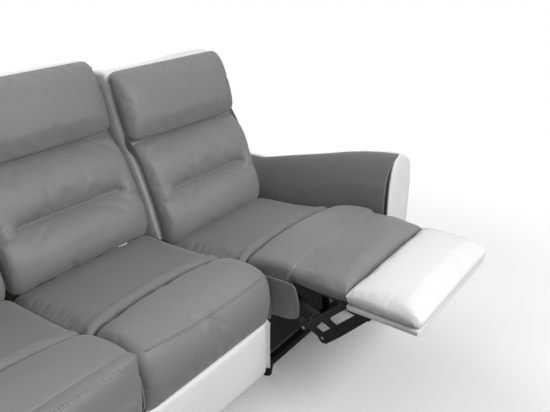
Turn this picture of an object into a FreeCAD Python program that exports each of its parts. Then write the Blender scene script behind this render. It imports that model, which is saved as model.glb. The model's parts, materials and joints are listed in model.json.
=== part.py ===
"""Three-seat reclining sofa in two tones, with an open footrest mechanism at each end seat.

Millimetres, +Z up, the sofa faces -Y. X is 0 at the middle of the sofa, Z is 0 on the floor and
Y is 0 half way between the tip of the open footrest and the rear of the backs. The three seats
are drawn closed, with Y measured from the crease between seat and back, and each moving piece of
an end seat is then put where the linkage carries it: the right seat is open, the left one closed.
"""
import FreeCAD
import Part

import math
import os
from FreeCAD import Placement, Rotation, Vector

# Widths
SEAT_PITCH = 540.0
SEAT_GAP = 6.0
ARM_GAP = 15.0
ARM_WIDTH = 170.0

# Seat profile, forward of and above the crease
CREASE_Z = 437.0
NOTCH_Y = -340.0
NOTCH_Z = 458.0
SEAT_CROWN = 16.0
SEAT_FRONT_Y = -549.0
SEAT_TOP_Z = 481.0
ROLL_RADIUS = 44.0
SEAT_REAR_Y = 6.0
ROLL_UNDERSIDE_Z = 418.0
SIDE_DRAW = 9.0
SEAM_ROLL = 18.0
CREASE_ROLL = 14.0
COLOUR_LINE_Z = 297.0
FRONT_BOTTOM_Z = 73.0
FRONT_CORNER = 34.0
PAD_THICKNESS = 45.0
BOARD_THICKNESS = 15.0
PAD_SWELL = 20.0
END_ROLL = 22.0
SOFT_GAP = 1.5

# Base
FOOT_HEIGHT = 30.0
FOOT_RADIUS = 20.0
RAIL_SIZE = 25.0
RAIL_WALL = 2.0
FRONT_RAIL_Y = -470.0
REAR_RAIL_Y = -60.0
BOX_BOARD = 18.0
BOX_INSET = 14.0
BOX_REAR_Y = 172.0
BOX_REAR_TOP_Z = 400.0
BOX_CROSS_HEIGHT = 60.0

# Linkage sheet metal, in layers counted outwards from the base bracket
SHEET = 3.0
LAYER_PITCH = 6.0
MECHANISM_INSET = 70.0
PIN_RADIUS = 5.0
PIN_CLEARANCE = 0.3
SLOT_CLEARANCE = 3.2
HEAD_RADIUS = 8.5
HEAD_THICKNESS = 1.6
LINK_HALF_WIDTH = 13.0
BASE, SWING, SEAT, LINK, OUTER = range(5)

# How the end seat travels as it opens
SEAT_FORWARD = 80.0
SEAT_DROP = 32.0
SEAT_TILT = 4.0
FRONT_SWING_TURN = 44.0
REAR_SWING_TURN = 46.0
FOOTREST_TURN = 86.0
OPEN_BACK_ANGLE = 4.5
BACK_RECLINE = 28.0

# Pivots of the closed linkage, as (Y, Z)
FRONT_PIN = (-380.0, 300.0)
REAR_PIN = (-60.0, 300.0)
BACK_PIN = (28.0, 400.0)
FOOTREST_CORNER = (-547.0, 473.0)
DRIVE_PIN = (-403.0, 353.0)
DRIVE_ARM = (87.0, -217.0)
GUIDE_OFFSET = (-50.0, 42.0)
LIFT_OFFSET = (-10.0, 70.0)
DRIVE_TUBE_RADIUS = 11.0
DRIVE_TUBE_WALL = 2.0

# Seat frame
FRAME_TUBE = 25.0
FRAME_Z = 325.0
FRAME_FRONT_Y = -345.0
FRAME_REAR_Y = -5.0
LEDGE_THICKNESS = 12.0
GUSSET_TOP_Z = 438.0
GUSSET_FRONT_Z = 312.0
GUSSET_REAR_Z = 330.0
GUSSET_OVERLAP = 40.0
GUSSET_THICKNESS = 3.5
GUSSET_SETBACK = 12.0
SPRING_COUNT = 4
SPRING_MARGIN = 31.0
SPRING_BENDS = 7
SPRING_HALF_WIDTH = 24.0
SPRING_WIRE = 3.5

# Back
BACK_SIDE_GAP = 5.0
BACK_WALL = 12.0
BACK_TOP_Z = 1018.0
BACK_BOTTOM_Z = 240.0
BACK_REAR_Y = 187.0
BACK_REAR_SLOPE = 0.184
LOBE_SWELL = 14.0
CREASE_RISE = 7.0
BACK_HEEL = (-8.0, 452.0)
LOWER_LOBE = (-26.0, 525.0)
LOWER_CREASE = (34.0, 622.0)
MIDDLE_LOBE = (66.0, 704.0)
UPPER_CREASE = (124.0, 790.0)
UPPER_LOBE = (130.0, 890.0)
BACK_SHOULDER = (188.0, 1000.0)
BACK_PEAK = (199.0, 1024.0)
SEAM_LINE = ((20.0, 452.0), (68.0, 600.0), (122.0, 735.0), (163.0, 795.0), (205.0, 905.0), (222.0, 1000.0))
SHELL_LAP = 40.0
POST_WIDTH = 28.0
POST_DEPTH = 40.0
POST_TOP_GAP = 43.0
POST_BOTTOM_Z = 430.0
BACK_RAIL_HEIGHT = 45.0
BACK_RAIL_INSET = 8.0
HINGE_PLATE_HEIGHT = 118.0

# Arms
ARM_FRONT_Y = -642.0
ARM_REAR_Y = 195.0
ARM_CAP = 12.0
ARM_CREST_OUT = 41.0
ARM_TIP_Z = 690.0
ARM_SLOPE = 0.252
ARM_LEVEL_Y = -565.0
ARM_BEND_Y = -70.0
ARM_REAR_Z = 560.0
ARM_PAD = 25.0
ARM_PAD_BOTTOM_Z = 110.0
ARM_BEVEL = 100.0
ARM_SHOULDER = 95.0
ARM_WALL = 22.0
ARM_STUD = 38.0
ARM_SILL = 45.0

# Release lever on the outer side of each arm
LEVER_Y = -330.0
LEVER_Z = 330.0
LEVER_SHAFT_RADIUS = 8.0
LEVER_LENGTH = 135.0
LEVER_THICKNESS = 12.0
LEVER_REACH = 40.0
CUP_RADIUS = 30.0
CUP_THICKNESS = 8.0
LEVER_TURN = 40.0

X_AXIS = Vector(1, 0, 0)
HALF_SEAT = SEAT_PITCH / 2 - SEAT_GAP
ARM_INNER_X = 1.5 * SEAT_PITCH + ARM_GAP
ARM_OUTER_X = ARM_INNER_X + ARM_WIDTH
FIRST_LAYER = HALF_SEAT - MECHANISM_INSET
BOX_HALF_WIDTH = HALF_SEAT - BOX_INSET
FRAME_HALF_WIDTH = FIRST_LAYER + SEAT * LAYER_PITCH
POST_OUTER_X = FIRST_LAYER + LINK * LAYER_PITCH
POST_TOP_Z = BACK_TOP_Z - POST_TOP_GAP
SPRING_PITCH = 2 * (FRAME_HALF_WIDTH - FRAME_TUBE - SPRING_MARGIN) / (SPRING_COUNT - 1)
BOARD_FRONT_Y = SEAT_FRONT_Y + PAD_THICKNESS
BOARD_REAR_Y = BOARD_FRONT_Y + BOARD_THICKNESS
CUSHION_UNDERSIDE_Z = FRAME_Z + FRAME_TUBE + SPRING_WIRE
BASE_TOP_Z = FOOT_HEIGHT + RAIL_SIZE
CREST_X = ARM_INNER_X + ARM_CREST_OUT

# Shares of the half width at which a soft piece is drawn, with how far its edge is drawn in there
DRAWN_EDGES = ((-1, 1), (-0.93, 0.28), (-0.7, 0), (0.7, 0), (0.93, 0.28), (1, 1))


def at_x(x):
    """Places a drawing's (u, v) at (Y, Z) in the plane of one X."""
    return lambda u, v: Vector(x, u, v)


def at_y(y):
    """Places a drawing's (u, v) at (X, Z) in the plane of one Y."""
    return lambda u, v: Vector(u, y, v)


def at_z(z):
    """Places a drawing's (u, v) at (X, Y) in the plane of one Z."""
    return lambda u, v: Vector(u, v, z)


def outline(place, corners):
    """A closed wire of straight sides, with a tangent arc at each corner (u, v, radius)."""
    count = len(corners)
    points = [place(u, v) for u, v, _ in corners]
    spans = []
    for i, (_, _, radius) in enumerate(corners):
        before = (points[i - 1] - points[i]).normalize()
        after = (points[(i + 1) % count] - points[i]).normalize()
        half = before.getAngle(after) / 2
        reach = radius / math.tan(half)
        middle = (before + after).normalize() * (radius / math.sin(half) - radius)
        spans.append((points[i] + before * reach, points[i] + middle, points[i] + after * reach))
    edges = []
    for i, (start, middle, end) in enumerate(spans):
        edges.append(Part.LineSegment(spans[i - 1][2], start).toShape())
        if corners[i][2] > 0:
            edges.append(Part.Arc(start, middle, end).toShape())
    return Part.Wire(edges)


def profile(place, start, *steps):
    """A closed wire of lines to (u, v) and arcs through one (u, v) to the next."""
    edges = []
    here = start
    for step in steps + (start,):
        if isinstance(step[0], tuple):
            via, there = step
            edges.append(Part.Arc(place(*here), place(*via), place(*there)).toShape())
        else:
            there = step
            if there != here:
                edges.append(Part.LineSegment(place(*here), place(*there)).toShape())
        here = there
    return Part.Wire(edges)


def slab(wire, direction):
    """A flat wire pushed along a direction."""
    return Part.Face(wire).extrude(Vector(*direction))


def block(x0, x1, y0, y1, z0, z1):
    return Part.makeBox(x1 - x0, y1 - y0, z1 - z0, Vector(x0, y0, z0))


def rod(pivot, radius, x0, x1):
    """A round bar along X through a (Y, Z) point."""
    return Part.makeCylinder(radius, x1 - x0, Vector(x0, *pivot), X_AXIS)


def plate(corners, layer):
    """Sheet metal of one layer, on the positive side of the seat."""
    x = FIRST_LAYER + layer * LAYER_PITCH
    return slab(outline(at_x(x), corners), (SHEET, 0, 0))


def link(start, end, layer, half_width=LINK_HALF_WIDTH):
    """A flat link with round ends about two pivots."""
    along = Vector(0, end[0] - start[0], end[1] - start[1]).normalize()
    side = Vector(0, -along.z, along.y) * half_width
    reach = along * half_width
    x = FIRST_LAYER + layer * LAYER_PITCH
    a = Vector(x, *start)
    b = Vector(x, *end)
    edges = [
        Part.LineSegment(a + side, b + side).toShape(),
        Part.Arc(b + side, b + reach, b - side).toShape(),
        Part.LineSegment(b - side, a - side).toShape(),
        Part.Arc(a - side, a - reach, a + side).toShape(),
    ]
    return Part.Face(Part.Wire(edges)).extrude(Vector(SHEET, 0, 0))


def hole(shape, pivot, layer, clearance=PIN_CLEARANCE):
    """A pivot hole through one layer, with running clearance about the pin."""
    x = FIRST_LAYER + layer * LAYER_PITCH
    return shape.cut(rod(pivot, PIN_RADIUS + clearance, x - 1, x + SHEET + 1))


def rivet(shape, pivot, layer, through, headed=True):
    """Fuses a shouldered rivet into a plate, reaching through the layer next to it."""
    low = FIRST_LAYER + min(layer, through) * LAYER_PITCH
    high = FIRST_LAYER + max(layer, through) * LAYER_PITCH + SHEET
    if not headed:
        return shape.fuse(rod(pivot, PIN_RADIUS, low, high))
    if through > layer:
        high += PIN_CLEARANCE
        head = rod(pivot, HEAD_RADIUS, high, high + HEAD_THICKNESS)
    else:
        low -= PIN_CLEARANCE
        head = rod(pivot, HEAD_RADIUS, low - HEAD_THICKNESS, low)
    return shape.fuse(rod(pivot, PIN_RADIUS, low, high)).fuse(head)


def both_sides(shape):
    """A piece and its mirror image across the middle of its seat."""
    return [shape, shape.mirror(Vector(0, 0, 0), X_AXIS)]


def ribbon(points, width, thickness, z):
    """A flat strip that follows a zigzag in plan, with mitred corners."""
    left = []
    right = []
    for i, (x, y) in enumerate(points):
        normals = []
        for a, b in ((i - 1, i), (i, i + 1)):
            if a >= 0 and b < len(points):
                dx = points[b][0] - points[a][0]
                dy = points[b][1] - points[a][1]
                length = math.hypot(dx, dy)
                normals.append((-dy / length, dx / length))
        nx = sum(n[0] for n in normals)
        ny = sum(n[1] for n in normals)
        scale = len(normals) * width / 2 / (nx * nx + ny * ny)
        left.append((x + nx * scale, y + ny * scale, 0))
        right.append((x - nx * scale, y - ny * scale, 0))
    return slab(outline(at_z(z), left + right[::-1]), (0, 0, thickness))


def plus(point, offset):
    return (point[0] + offset[0], point[1] + offset[1])


def about(pivot, angle):
    """The motion that turns about an X axis through a (Y, Z) point."""
    return Placement(Vector(0, 0, 0), Rotation(X_AXIS, angle), Vector(0, *pivot))


def moved_seat(point):
    """Where the open seat carries a (Y, Z) point: forward, down and tilted about the crease."""
    tilt = about((0, CREASE_Z), -SEAT_TILT)
    tilted = tilt.multVec(Vector(0, *point))
    return (tilted.y - SEAT_FORWARD, tilted.z - SEAT_DROP)


def swing_centre(closed, opened, angle):
    """The fixed point about which a turn by the angle takes the closed pin to the open one."""
    half = math.radians(angle) / 2
    dy = (opened[0] - closed[0]) / 2
    dz = (opened[1] - closed[1]) / 2
    return (closed[0] + dy - dz / math.tan(half), closed[1] + dz + dy / math.tan(half))


# Pivots that follow from the ones above
FRONT_BASE_PIN = swing_centre(FRONT_PIN, moved_seat(FRONT_PIN), FRONT_SWING_TURN)
REAR_BASE_PIN = swing_centre(REAR_PIN, moved_seat(REAR_PIN), REAR_SWING_TURN)
GUIDE_PIN = plus(DRIVE_PIN, GUIDE_OFFSET)
CROSS_PIN = plus(DRIVE_PIN, DRIVE_ARM)
CROSS_GUIDE_PIN = plus(CROSS_PIN, GUIDE_OFFSET)
LIFT_PIN = plus(CROSS_PIN, LIFT_OFFSET)
BRACKET_PIN = plus(FOOTREST_CORNER, DRIVE_ARM)
BRACKET_LIFT_PIN = plus(BRACKET_PIN, LIFT_OFFSET)

# Each joint of an end seat: parent, pivot, turn from closed to open
LINKAGE = {
    "front_swing": ("frame", FRONT_BASE_PIN, FRONT_SWING_TURN),
    "rear_swing": ("frame", REAR_BASE_PIN, REAR_SWING_TURN),
    "seat": ("front_swing", FRONT_PIN, -FRONT_SWING_TURN - SEAT_TILT),
    "drive_link": ("seat", DRIVE_PIN, -FOOTREST_TURN),
    "guide_link": ("seat", GUIDE_PIN, -FOOTREST_TURN),
    "cross_link": ("drive_link", CROSS_PIN, FOOTREST_TURN),
    "lift_link": ("drive_link", LIFT_PIN, FOOTREST_TURN),
    "footrest": ("seat", FOOTREST_CORNER, -FOOTREST_TURN),
    "back": ("seat", BACK_PIN, OPEN_BACK_ANGLE),
}


def motion(body, opened):
    """How far a body of an end seat has moved when the seat is open by a share of its travel."""
    if body == "frame":
        return Placement()
    parent, pivot, turn = LINKAGE[body]
    return motion(parent, opened).multiply(about(pivot, turn * opened))


def rear_face_y(z):
    """The sloping rear face of a back."""
    return BACK_REAR_Y + (z - BACK_BOTTOM_Z) * BACK_REAR_SLOPE


def loft(wires):
    """A solid through flat wires, straight from each to the next."""
    return Part.makeLoft(wires, True, True)


def seat_cushion():
    """The crowned rear part of a seat, its sides drawn in."""
    wires = []
    for x, draw in DRAWN_EDGES:
        drop = draw * SIDE_DRAW
        front = NOTCH_Y + SOFT_GAP + drop / 2
        rear = SEAT_REAR_Y - drop / 2
        lip = NOTCH_Z + SEAM_ROLL / 2 - drop
        heel = CREASE_Z - drop
        crown = ((front + rear) / 2, (CREASE_Z + NOTCH_Z) / 2 + SEAT_CROWN - drop)
        wires.append(profile(
            at_x(x * HALF_SEAT),
            (front, CUSHION_UNDERSIDE_Z),
            (front, lip - SEAM_ROLL * 0.6),
            ((front + SEAM_ROLL * 0.3, lip - SEAM_ROLL * 0.18), (front + SEAM_ROLL, lip)),
            (crown, (rear - CREASE_ROLL, heel)),
            ((rear - CREASE_ROLL * 0.3, heel - CREASE_ROLL * 0.4), (rear, heel - CREASE_ROLL)),
            (rear, CUSHION_UNDERSIDE_Z),
        ))
    return loft(wires)


def front_roll(full_front):
    """The padded roll over the front of a seat, down to the colour line where the seat is fixed."""
    wires = []
    split = ROLL_RADIUS * (1 - math.sqrt(0.5))
    for x, draw in DRAWN_EDGES:
        drop = draw * SIDE_DRAW
        rear = NOTCH_Y - SOFT_GAP - drop / 2
        front = SEAT_FRONT_Y + drop / 2
        top = SEAT_TOP_Z - drop
        lip = NOTCH_Z + SEAM_ROLL - drop
        middle = (rear - SEAM_ROLL + front + ROLL_RADIUS) / 2
        steps = [
            (rear, ROLL_UNDERSIDE_Z),
            (rear, lip - SEAM_ROLL),
            ((rear - SEAM_ROLL * 0.3, lip - SEAM_ROLL * 0.35), (rear - SEAM_ROLL, lip)),
            ((middle, top + SOFT_GAP * 2), (front + ROLL_RADIUS, top)),
        ]
        if full_front:
            steps += [
                ((front + split, top - split), (front, top - ROLL_RADIUS)),
                (front, COLOUR_LINE_Z + SOFT_GAP / 2),
                (BOARD_FRONT_Y, COLOUR_LINE_Z + SOFT_GAP / 2),
                (BOARD_FRONT_Y, ROLL_UNDERSIDE_Z),
            ]
        else:
            slant = BOARD_REAR_Y + SOFT_GAP - front - split
            steps += [
                ((front + ROLL_RADIUS * 0.62, top - ROLL_RADIUS * 0.08), (front + split, top - split)),
                (front + split + slant, top - split - slant),
                (front + split + slant, ROLL_UNDERSIDE_Z),
            ]
        wires.append(profile(at_x(x * HALF_SEAT), *steps))
    return loft(wires)


def footrest_pad():
    """The upper footrest pad: its head closes against the front roll along a slanting face."""
    wires = []
    split = ROLL_RADIUS * (1 - math.sqrt(0.5))
    for x, draw in DRAWN_EDGES:
        front = SEAT_FRONT_Y + draw * SIDE_DRAW / 2
        top = SEAT_TOP_Z - draw * SIDE_DRAW - 2 * SOFT_GAP
        nose = (front + split, top - split)
        swell = ((front + 3 - PAD_SWELL, (COLOUR_LINE_Z + top - ROLL_RADIUS) / 2), (front, top - ROLL_RADIUS))
        wires.append(profile(
            at_x(x * (HALF_SEAT - 2)),
            (front + 3, COLOUR_LINE_Z + SOFT_GAP / 2),
            swell,
            ((front + ROLL_RADIUS * 0.08, top - ROLL_RADIUS * 0.62), nose),
            (BOARD_FRONT_Y, nose[1] - (BOARD_FRONT_Y - nose[0])),
            (BOARD_FRONT_Y, COLOUR_LINE_Z + SOFT_GAP / 2),
        ))
    return loft(wires)


def end_pad(bottom, half_width, wrapped):
    """The lower pad in the second colour, on the footrest wrapped under the end of the board."""
    wires = []
    top = COLOUR_LINE_Z - SOFT_GAP / 2
    for x, draw in DRAWN_EDGES:
        front = SEAT_FRONT_Y + draw * SIDE_DRAW / 2
        steps = [
            (BOARD_FRONT_Y, top),
            (front + 3, top),
            ((front + 3 - PAD_SWELL, (top + bottom) / 2), (front + 2, bottom + END_ROLL)),
            ((front + END_ROLL * 0.36, bottom + END_ROLL * 0.3), (front + END_ROLL, bottom)),
        ]
        if wrapped:
            steps += [
                (BOARD_REAR_Y, bottom),
                (BOARD_REAR_Y, bottom + BOARD_THICKNESS),
                (BOARD_FRONT_Y, bottom + BOARD_THICKNESS),
            ]
        else:
            steps.append((BOARD_FRONT_Y, bottom))
        wires.append(profile(at_x(x * half_width), *steps))
    pad = loft(wires)
    low = bottom - 5
    trim = slab(outline(at_y(SEAT_FRONT_Y - 20), [
        (-half_width - 1, low, 0), (-half_width - 1, bottom + FRONT_CORNER, 0),
        (-half_width + FRONT_CORNER, low, 0)]), (0, PAD_THICKNESS + BOARD_THICKNESS + 40, 0))
    for piece in both_sides(trim):
        pad = pad.cut(piece)
    return pad


def back_profile(x, crown):
    """The upholstered front of a back: three lobes between two creases, fuller at the middle."""
    swell = crown * LOBE_SWELL
    rise = (crown - 1) * CREASE_RISE
    low_y, low_z = LOWER_CREASE
    high_y, high_z = UPPER_CREASE
    peak_y = SEAM_LINE[-1][0]
    steps = [(BACK_HEEL[0] + swell * 0.2, BACK_HEEL[1])]
    steps.append(((LOWER_LOBE[0] - swell, LOWER_LOBE[1]), (low_y + CREASE_RISE + rise, low_z)))
    steps.append(((MIDDLE_LOBE[0] - swell, MIDDLE_LOBE[1]), (high_y + CREASE_RISE + rise, high_z)))
    steps.append(((UPPER_LOBE[0] - swell, UPPER_LOBE[1]), (BACK_SHOULDER[0] - swell * 0.4, BACK_SHOULDER[1])))
    steps.append((BACK_PEAK, (peak_y, BACK_TOP_Z + 2)))
    steps += list(SEAM_LINE[:0:-1])
    return profile(at_x(x), SEAM_LINE[0], *steps)


def back_cushion():
    half = SEAT_PITCH / 2 - BACK_SIDE_GAP
    shares = ((-1, 0), (-0.88, 0.7), (-0.6, 1), (0.6, 1), (0.88, 0.7), (1, 0))
    return loft([back_profile(share * half, crown) for share, crown in shares])


def back_shell():
    """The cover round the sides, top and rear of a back, open at the front and below."""
    half = SEAT_PITCH / 2 - BACK_SIDE_GAP
    outer = [(y, z, 0) for y, z in SEAM_LINE]
    outer += [(SEAM_LINE[-1][0], BACK_TOP_Z, 0), (rear_face_y(BACK_TOP_Z), BACK_TOP_Z, 2 * BACK_WALL)]
    outer += [(rear_face_y(BACK_BOTTOM_Z), BACK_BOTTOM_Z, 0), (70, BACK_BOTTOM_Z + 60, 0), (58, 400, 0)]
    inner = [(y - SHELL_LAP, z, 0) for y, z in SEAM_LINE]
    top = BACK_TOP_Z - BACK_WALL
    low = BACK_BOTTOM_Z - SHELL_LAP
    inner += [(SEAM_LINE[-1][0] - SHELL_LAP, top, 0), (rear_face_y(top) - BACK_WALL, top, BACK_WALL)]
    inner += [(rear_face_y(low) - BACK_WALL, low, 0), (SEAM_LINE[0][0] - SHELL_LAP, low, 0)]
    body = slab(outline(at_x(-half), outer), (2 * half, 0, 0))
    room = slab(outline(at_x(BACK_WALL - half), inner), (2 * (half - BACK_WALL), 0, 0))
    return body.cut(room)


def post_front_y(z):
    return rear_face_y(z) - BACK_WALL - POST_DEPTH


def back_frame(bottom):
    """A ladder of two posts and three cross rails."""
    top = POST_TOP_Z
    corners = [(post_front_y(bottom), bottom, 0), (post_front_y(bottom) + POST_DEPTH, bottom, 0),
               (post_front_y(top) + POST_DEPTH, top, 0), (post_front_y(top), top, 0)]
    inner = POST_OUTER_X - POST_WIDTH
    frame = both_sides(slab(outline(at_x(inner), corners), (POST_WIDTH, 0, 0)))
    middle = (POST_BOTTOM_Z + top) / 2
    deep = POST_DEPTH - BACK_RAIL_INSET
    for low in (POST_BOTTOM_Z + 20, middle, top - BACK_RAIL_HEIGHT):
        high = low + BACK_RAIL_HEIGHT
        corners = [(post_front_y(low) + BACK_RAIL_INSET, low, 0), (post_front_y(low) + deep, low, 0),
                   (post_front_y(high) + deep, high, 0), (post_front_y(high) + BACK_RAIL_INSET, high, 0)]
        frame.append(slab(outline(at_x(-inner), corners), (2 * inner, 0, 0)))
    return frame[0].fuse(frame[1:]).removeSplitter()


def back_hinge_plates():
    """Cranked plates from the back's pivot to its posts."""
    low = POST_BOTTOM_Z + 12
    high = low + HINGE_PLATE_HEIGHT
    y, z = BACK_PIN
    rear = POST_DEPTH - 6
    shape = plate([
        (y - 17, z - 17, 16), (y + 22, z - 17, 14),
        (post_front_y(low) + rear, low, 12), (post_front_y(high) + rear, high, 12),
        (post_front_y(high) + 4, high, 12), (post_front_y(low) - 10, low + 44, 30),
        (y - 17, z + 20, 16)], LINK)
    return both_sides(hole(shape, BACK_PIN, LINK))


def springs(z):
    """Zigzag springs stretched from the front to the rear rail."""
    front = FRAME_FRONT_Y + FRAME_TUBE / 3
    rear = FRAME_REAR_Y - FRAME_TUBE / 3
    strips = []
    step = (rear - front) / SPRING_BENDS
    for i in range(SPRING_COUNT):
        x = (i - (SPRING_COUNT - 1) / 2) * SPRING_PITCH
        points = [(x, front)]
        for bend in range(SPRING_BENDS):
            side = SPRING_HALF_WIDTH * (1 if bend % 2 else -1)
            points.append((x + side, front + step * (bend + 0.2)))
            points.append((x + side, front + step * (bend + 0.8)))
        points.append((x, rear))
        strips.append(ribbon(points, SPRING_WIRE, SPRING_WIRE, z))
    return strips


def seat_plates():
    """The side plates that carry the seat, the footrest links and the back."""
    front, drive, rear, back = FRONT_PIN, DRIVE_PIN, REAR_PIN, BACK_PIN
    rim = 18
    shape = plate([
        (GUIDE_PIN[0] - rim, GUIDE_PIN[1] + 15, 12), (GUIDE_PIN[0] + 22, GUIDE_PIN[1] + 15, 12),
        (FRAME_FRONT_Y - 14, FRAME_Z + 5, 14), (back[0] - rim, FRAME_Z + 5, 8),
        (back[0] - rim, back[1] + rim, 14), (back[0] + rim, back[1] + rim, 14),
        (back[0] + rim, rear[1] + 4, 20), (back[0] - 4, rear[1] - rim, 20),
        (front[0] - 12, front[1] - rim, 14), (GUIDE_PIN[0] - rim, drive[1] + 20, 16)], SEAT)
    for pivot in (front, rear):
        shape = rivet(shape, pivot, SEAT, SWING, headed=False)
    shape = rivet(shape, GUIDE_PIN, SEAT, LINK)
    shape = rivet(shape, BACK_PIN, SEAT, LINK)
    x = FIRST_LAYER + SEAT * LAYER_PITCH
    shape = shape.cut(rod(drive, DRIVE_TUBE_RADIUS + PIN_CLEARANCE, x - 1, x + SHEET + 1))
    return both_sides(shape)


def drive_links():
    """The driving links, welded to the tube that turns both sides together."""
    shape = link(DRIVE_PIN, CROSS_PIN, LINK)
    outer = FIRST_LAYER + LINK * LAYER_PITCH
    shape = shape.fuse(Part.Face(Part.Wire(
        Part.makeCircle(DRIVE_TUBE_RADIUS + 5, Vector(outer, *DRIVE_PIN), X_AXIS))
    ).extrude(Vector(SHEET, 0, 0))).removeSplitter()
    shape = rivet(shape, CROSS_PIN, LINK, OUTER)
    shape = rivet(shape, LIFT_PIN, LINK, OUTER)
    tube = rod(DRIVE_PIN, DRIVE_TUBE_RADIUS, -outer, outer)
    tube = tube.cut(rod(DRIVE_PIN, DRIVE_TUBE_RADIUS - DRIVE_TUBE_WALL, -outer - 1, outer + 1))
    sides = both_sides(shape)
    return [sides[0].fuse([sides[1], tube])]


def guide_links():
    shape = hole(link(GUIDE_PIN, CROSS_GUIDE_PIN, LINK), GUIDE_PIN, LINK)
    return both_sides(rivet(shape, CROSS_GUIDE_PIN, LINK, OUTER))


def cross_links():
    """The broad outer plates that carry the footrest bracket at their upper ends."""
    y0, z0 = CROSS_PIN
    y1, z1 = BRACKET_PIN
    length = math.hypot(y1 - y0, z1 - z0)
    along = ((y1 - y0) / length, (z1 - z0) / length)
    side = (-along[1], along[0])

    def corner(a, b, radius):
        return (y0 + along[0] * a + side[0] * b, z0 + along[1] * a + side[1] * b, radius)

    shape = plate([
        corner(-16, -15, 10), corner(length - 40, -17, 20), corner(length + 15, -14, 13),
        corner(length + 15, 14, 13), corner(length * 0.35, 21, 30), corner(-2, 21, 8),
        corner(-16, 10, 8)], OUTER)
    for pivot in (CROSS_PIN, CROSS_GUIDE_PIN):
        shape = hole(shape, pivot, OUTER)
    return both_sides(rivet(shape, BRACKET_PIN, OUTER, LINK))


def lift_links():
    shape = link(LIFT_PIN, BRACKET_LIFT_PIN, OUTER, 11)
    shape = hole(shape, LIFT_PIN, OUTER)
    return both_sides(rivet(shape, BRACKET_LIFT_PIN, OUTER, LINK))


def footrest_brackets():
    """Angle brackets along the board, with notched screw tabs."""
    web_rear = BOARD_REAR_Y + 13
    top = BRACKET_LIFT_PIN[1] + 20
    bottom = BRACKET_PIN[1] - 92
    y, z = BRACKET_PIN
    shape = plate([
        (BOARD_REAR_Y, bottom, 0), (web_rear, bottom, 5), (web_rear, z - 34, 20),
        (y + 15, z - 12, 12), (y + 15, z + 14, 12), (BRACKET_LIFT_PIN[0] + 14, BRACKET_LIFT_PIN[1] - 8, 10),
        (BRACKET_LIFT_PIN[0] + 14, top, 10), (BOARD_REAR_Y, top, 0)], LINK)
    for pivot in (BRACKET_PIN, BRACKET_LIFT_PIN):
        shape = hole(shape, pivot, LINK)
    x = FIRST_LAYER + LINK * LAYER_PITCH
    flange = block(x - 22, x, BOARD_REAR_Y, BOARD_REAR_Y + SHEET, bottom, top)
    for i in range(3):
        low = bottom + 14 + i * 24
        flange = flange.cut(block(x - 23, x - 10, BOARD_REAR_Y - 1, BOARD_REAR_Y + SHEET + 1, low, low + 10))
    return both_sides(shape.fuse(flange))


def front_swings():
    shape = link(FRONT_BASE_PIN, FRONT_PIN, SWING)
    for pivot in (FRONT_BASE_PIN, FRONT_PIN):
        shape = hole(shape, pivot, SWING)
    return both_sides(shape)


def rear_swings():
    shape = link(REAR_BASE_PIN, REAR_PIN, SWING, LINK_HALF_WIDTH + 2)
    shape = hole(shape, REAR_BASE_PIN, SWING)
    return both_sides(hole(shape, REAR_PIN, SWING, SLOT_CLEARANCE))


def base_brackets():
    """The fixed side plates of a mechanism, on flanges across the two floor rails."""
    front, rear = FRONT_BASE_PIN, REAR_BASE_PIN
    start = FRONT_RAIL_Y - RAIL_SIZE / 2
    end = REAR_RAIL_Y + RAIL_SIZE / 2
    shape = plate([
        (start, BASE_TOP_Z, 0), (end, BASE_TOP_Z, 0), (end, BASE_TOP_Z + 40, 12),
        (rear[0] + 18, rear[1] + 16, 15), (rear[0] - 18, rear[1] + 16, 15),
        (rear[0] - 70, BASE_TOP_Z + 45, 40), (front[0] + 70, BASE_TOP_Z + 45, 40),
        (front[0] + 18, front[1] + 16, 15), (front[0] - 18, front[1] + 16, 15),
        (start, BASE_TOP_Z + 40, 12)], BASE)
    for pivot in (front, rear):
        shape = rivet(shape, pivot, BASE, SWING, headed=False)
    flange = block(FIRST_LAYER - 25, FIRST_LAYER, start, end, BASE_TOP_Z, BASE_TOP_Z + SHEET)
    return both_sides(shape.fuse(flange))


def seat_frame():
    """Four square tubes and a ledge under the front roll, between the side plates."""
    half = FRAME_HALF_WIDTH
    inner = half - FRAME_TUBE
    top = FRAME_Z + FRAME_TUBE
    front, rear = FRAME_FRONT_Y, FRAME_REAR_Y
    tubes = [
        block(-half, half, front, front + FRAME_TUBE, FRAME_Z, top),
        block(-half, half, rear - FRAME_TUBE, rear, FRAME_Z, top),
        block(-half, -inner, front + FRAME_TUBE, rear - FRAME_TUBE, FRAME_Z, top),
        block(inner, half, front + FRAME_TUBE, rear - FRAME_TUBE, FRAME_Z, top),
    ]
    ledge_low = ROLL_UNDERSIDE_Z - LEDGE_THICKNESS
    return tubes + [block(-half, half, BOARD_REAR_Y + 12, front - 10, ledge_low, ROLL_UNDERSIDE_Z)]


def footrest_board():
    low = FRONT_BOTTOM_Z + BOARD_THICKNESS
    high = ROLL_UNDERSIDE_Z - 8
    half = HALF_SEAT - 14
    return slab(outline(at_y(BOARD_FRONT_Y), [
        (-half, low, 12), (half, low, 12), (half, high, 12), (-half, high, 12)]), (0, BOARD_THICKNESS, 0))


def side_gussets():
    """Upholstered side cheeks below the front of the seat."""
    front = SEAT_FRONT_Y + GUSSET_SETBACK
    rear = NOTCH_Y + GUSSET_OVERLAP
    shape = slab(outline(at_x(HALF_SEAT), [
        (front, GUSSET_TOP_Z, 10), (front, GUSSET_FRONT_Z, 34), (rear, GUSSET_REAR_Z, 20),
        (rear, GUSSET_TOP_Z, 10)]), (GUSSET_THICKNESS, 0, 0))
    return both_sides(shape)


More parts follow.
